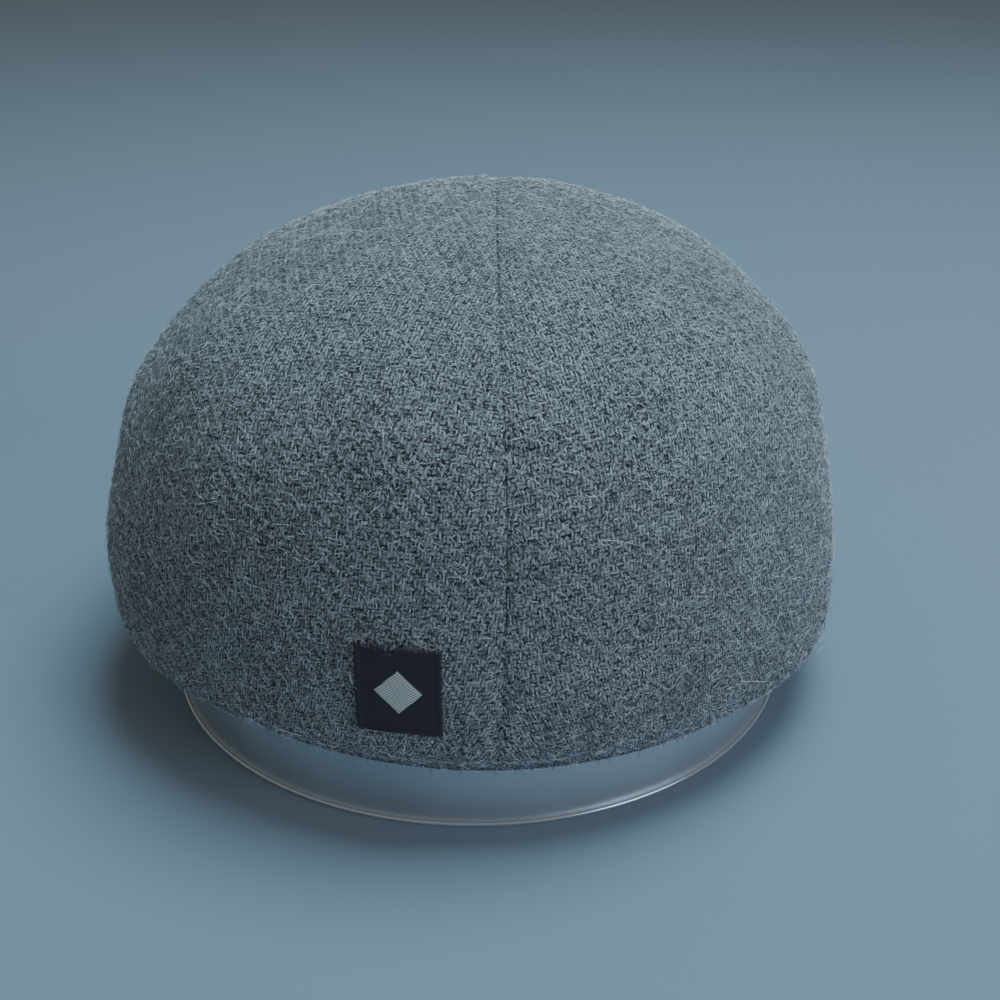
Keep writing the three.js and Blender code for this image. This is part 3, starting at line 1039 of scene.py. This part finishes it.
# %% Fibre helpers
FIBRE_TAPER = 0.6
FIBRE_ROOT = 0.15
CURL_RISE = (0.3, 1.0)
CURL_ARC = (1.8, 2.6)
CURL_TURN = (0.4, 1.6)

section_line = bpy.data.curves.new("fibre_section", "CURVE")
section_line.dimensions = "2D"
section_ring = section_line.splines.new("POLY")
section_ring.points.add(2)
for point, angle in zip(section_ring.points, (90, 210, 330)):
    point.co = (math.cos(math.radians(angle)) * MM, math.sin(math.radians(angle)) * MM, 0, 1)
section_ring.use_cyclic_u = True
section = bpy.data.objects.new("fibre_section", section_line)
scene.collection.objects.link(section)


def fibres_piece(name, fibres):
    """One mesh of many fibres. Each is a list of points in millimetres, a radius and a finish."""
    line = bpy.data.curves.new(name, "CURVE")
    line.dimensions = "3D"
    line.bevel_mode = "OBJECT"
    line.bevel_object = section
    for finish in fibre_finishes:
        line.materials.append(finish)
    for points, radius, finish in fibres:
        spline = line.splines.new("POLY")
        spline.points.add(len(points) - 1)
        spline.points.foreach_set("co", [value for point in points for value in (*(point * MM), 1)])
        taper = [radius * (1 - FIBRE_TAPER * (k / (len(points) - 1)) ** 2) for k in range(len(points))]
        spline.points.foreach_set("radius", taper)
        spline.material_index = finish
    holder = bpy.data.objects.new(name + "_curves", line)
    scene.collection.objects.link(holder)
    bpy.context.view_layer.update()
    mesh = bpy.data.meshes.new_from_object(holder.evaluated_get(bpy.context.evaluated_depsgraph_get()))
    bpy.data.objects.remove(holder)
    bpy.data.curves.remove(line)
    mesh.name = name
    piece = bpy.data.objects.new(name, mesh)
    scene.collection.objects.link(piece)
    mesh.shade_smooth()
    return piece


def sowing(cloth, count, chance):
    """Places and outward directions spread over the outer faces of a cloth, by their area."""
    faces = cloth.data.polygons
    sums, total = [], 0.0
    for face in faces:
        total += face.area
        sums.append(total)
    for _ in range(count):
        face = faces[min(bisect.bisect_left(sums, chance.random() * total), len(faces) - 1)]
        corners = [cloth.data.vertices[k].co for k in face.vertices]
        a, b = chance.random(), chance.random()
        low_side = corners[0].lerp(corners[1], a)
        high_side = corners[3].lerp(corners[2], a)
        yield low_side.lerp(high_side, b) / MM, face.normal.copy()


def curl(place, outward, length, lift, bend, steps, chance):
    """A fibre that leaves the cloth, rises by about lift and turns sideways by bend as it goes."""
    flat = outward.cross(Vector((chance.gauss(0, 1), chance.gauss(0, 1), chance.gauss(0, 1)))).normalized()
    points = []
    here = place - outward * FIBRE_ROOT
    rise = lift * chance.uniform(*CURL_RISE)
    for k in range(steps + 1):
        share = k / steps
        points.append(here + outward * rise * math.sin(share * chance.uniform(*CURL_ARC)))
        flat.rotate(Matrix.Rotation(bend * chance.uniform(*CURL_TURN) / steps, 3, outward))
        here = here + flat * length / steps
    return points


print("fibre helpers ready")

# %% Short nap
NAP_COUNT = 14500
NAP_RADII = (0.05, 0.06, 0.076)
NAP_SHARES = (0.12, 0.3, 0.58)
NAP_LENGTH = (1.0, 2.8)
NAP_THICKNESS = (0.7, 1.3)
NAP_BEND = 1.8
NAP_LIFT = 0.75
NAP_STEPS = 2
SEAM_BARE = 0.4


def nap(cloth, count, seed):
    """Short fibres over a whole panel, apart from a bare line along the seam."""
    chance = random.Random(seed)
    for place, outward in sowing(cloth, count, chance):
        seam = SEAM_OFFSET + seam_drift((place.z - HEM_HEIGHT) / CROWN_RISE)
        if abs(place.x - seam) < SEAM_BARE:
            continue
        tone = chance.choices((DARK, MIDDLE, PALE), NAP_SHARES)[0]
        length = chance.uniform(*NAP_LENGTH)
        bend = chance.uniform(-NAP_BEND, NAP_BEND)
        points = curl(place, outward, length, NAP_LIFT, bend, NAP_STEPS, chance)
        yield points, NAP_RADII[tone] * chance.uniform(*NAP_THICKNESS), tone


for cloth, word, seeds in ((left_cloth, "left", (11, 12)), (right_cloth, "right", (13, 14))):
    for layer, seed in zip(("under", "over"), seeds):
        fuzz = fibres_piece(f"crown_{word}_nap_{layer}", nap(cloth, NAP_COUNT, seed))
        dress(fuzz, "wool")

# %% [markdown]
# ### Long fibres
#
# Single pale fibres, 3 to 10 mm long, lie in loose curls on the crown, and fine ones hang from the hem
# over the wall of the stand.

# %% Long fibres
STRAY_COUNT = 400
STRAY_LENGTH = (3, 10)
STRAY_BEND = 4.0
STRAY_LIFT = 1.1
STRAY_STEPS = 9
STRAY_RADIUS = 0.075
STRAY_SHARES = (0.3, 0.7)
HEM_COUNT = 1500
HEM_BAND = 0.03
HEM_SWAY = 1.2
HEM_DROP = (0.8, 2.6)
HEM_FIBRE_RADIUS = 0.045
HEM_SHARES = (0.2, 0.4, 0.4)


def stray_fibres(cloths, chance):
    """Long fibres that lie in curls on the panels."""
    for cloth in cloths:
        for place, outward in sowing(cloth, STRAY_COUNT, chance):
            length = chance.uniform(*STRAY_LENGTH)
            bend = chance.uniform(-STRAY_BEND, STRAY_BEND)
            tone = chance.choices((MIDDLE, PALE), STRAY_SHARES)[0]
            points = curl(place, outward, length, STRAY_LIFT, bend, STRAY_STEPS, chance)
            yield points, STRAY_RADIUS, tone


def hem_fibres(count, chance):
    """Fine fibres that hang from the hem, all round."""
    for _ in range(count):
        turn = chance.uniform(0, math.tau)
        place = crown_point(turn, chance.uniform(0.0, HEM_BAND))[0]
        away = Vector((math.cos(turn), math.sin(turn), 0))
        side = Vector((-away.y, away.x, 0)) * chance.uniform(-HEM_SWAY, HEM_SWAY)
        drop = Vector((0, 0, -chance.uniform(*HEM_DROP)))
        start = place + away * 0.2
        halfway = start + drop * 0.5 + side * 0.3 + away * 0.3
        end = start + drop + side * 0.8 + away * 0.1
        tone = chance.choices((DARK, MIDDLE, PALE), HEM_SHARES)[0]
        yield [start, halfway, end], HEM_FIBRE_RADIUS, tone


chance = random.Random(21)
strays = fibres_piece("crown_stray_fibres", stray_fibres((left_cloth, right_cloth), chance))
dress(strays, "wool")
hanging = fibres_piece("hem_fibres", hem_fibres(HEM_COUNT, chance))
dress(hanging, "wool")

# %% [markdown]
# ### Threads at the seam and the label
#
# A row of small sunk stitches runs on each side of the seam and holds its turned-in edges down. The cloth's
# fuzz creeps over the label's edges, and two ends of pale sewing thread stick out at its left side.

# %% Seam stitches
STITCH_FROM_SEAM = 1.6
STITCH_LENGTH = 2.2
STITCH_PITCH = 3.4
STITCH_RADIUS = 0.1
STITCH_SINK = 0.06
STITCH_END_SINK = 0.15
STITCH_FLAT_SHARE = 0.6
STITCH_START = 0.07
STITCH_STOP = 0.975


def stitch_point(behind, side, height):
    """A place beside the seam, at the cap's back or its front, and the way out of the cloth there."""
    middle = 1.5 * math.pi if behind else 0.5 * math.pi
    reach_here = (crown_form(middle, height) - around_seam(0, 0, 0)).xy.length
    lean = STITCH_FROM_SEAM / reach_here * (side if behind else -side)
    return cloth_point(middle + lean, height, side)


def seam_stitches():
    """Short stitches in a row on each side of the seam, behind and in front."""
    for behind in (True, False):
        for side in (-1, 1):
            height = STITCH_START
            while height < STITCH_STOP:
                start, outward = stitch_point(behind, side, height)
                ahead = stitch_point(behind, side, height + HEIGHT_STEP)[0]
                along = (ahead - start).normalized()
                half = along * STITCH_LENGTH / 2
                middle = start + half + outward * (STITCH_RADIUS - STITCH_SINK)
                flat, ends = half * STITCH_FLAT_SHARE, outward * STITCH_END_SINK
                points = [middle - half - ends, middle - flat, middle + flat, middle + half - ends]
                yield points, STITCH_RADIUS, MIDDLE
                height += HEIGHT_STEP * STITCH_PITCH / (ahead - start).length


stitches = fibres_piece("seam_stitches", seam_stitches())
dress(stitches, "wool")

# %% Label fuzz
LABEL_FUZZ_COUNT = 170
LABEL_FUZZ_RADIUS = 0.04
LABEL_FUZZ_RISE = 0.35
LABEL_FUZZ_ROOT = 0.3
LABEL_FUZZ_REACH = (0.2, 1.0)
LABEL_FUZZ_SLANT = 0.9
LABEL_FUZZ_SHARES = (0.4, 0.5, 0.1)
THREAD_RADIUS = 0.1
THREAD_STEPS = 7
THREAD_FROM_EDGE = 0.8
THREAD_SWAY = 0.3
THREAD_LIFT = 0.7
THREAD_ARCH = 0.5

# height above the label's middle and length of a loose end
THREAD_ENDS = [(3.6, 3.8), (7.2, 1.0)]


def label_fuzz(count, chance):
    """Cloth fibres that lie over the label's edges, and two loose ends of its sewing thread."""
    half_width, half_height = LABEL_WIDTH / 2, LABEL_HEIGHT / 2
    for _ in range(count):
        along = chance.uniform(-1, 1)
        edge = chance.choice((-1, 1))
        turned = chance.random() < 0.5
        inwards = chance.uniform(*LABEL_FUZZ_REACH)
        slant = chance.uniform(-LABEL_FUZZ_SLANT, LABEL_FUZZ_SLANT)
        points = []
        for share in (0.0, 0.5, 1.0):
            beyond = LABEL_FUZZ_ROOT - inwards * share
            across, up = edge * (half_width + beyond), along * half_height + slant * share
            if turned:
                across, up = along * half_width + slant * share, edge * (half_height + beyond)
            lift = REST_GAP + (LABEL_THICKNESS + LABEL_FUZZ_RISE) * min(share * 3, 1)
            points.append(label_place(across, up, lift))
        tone = chance.choices((DARK, MIDDLE, PALE), LABEL_FUZZ_SHARES)[0]
        yield points, LABEL_FUZZ_RADIUS, tone
    for up, length in THREAD_ENDS:
        points = []
        for k in range(THREAD_STEPS + 1):
            share = k / THREAD_STEPS
            across = -half_width - THREAD_FROM_EDGE + THREAD_SWAY * math.sin(share * 5 + up)
            lift = THREAD_LIFT + THREAD_ARCH * math.sin(share * math.pi)
            points.append(label_place(across, up - length * share, lift))
        yield points, THREAD_RADIUS, PALE


label_threads = fibres_piece("label_threads", label_fuzz(LABEL_FUZZ_COUNT, random.Random(31)))
dress(label_threads, "label_weave")
bpy.data.objects.remove(section)

# %% Finish
visual_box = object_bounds()
boxes = {"cad": cad_box, "visual": visual_box}
{name: [list(corner) for corner in box] for name, box in boxes.items()}
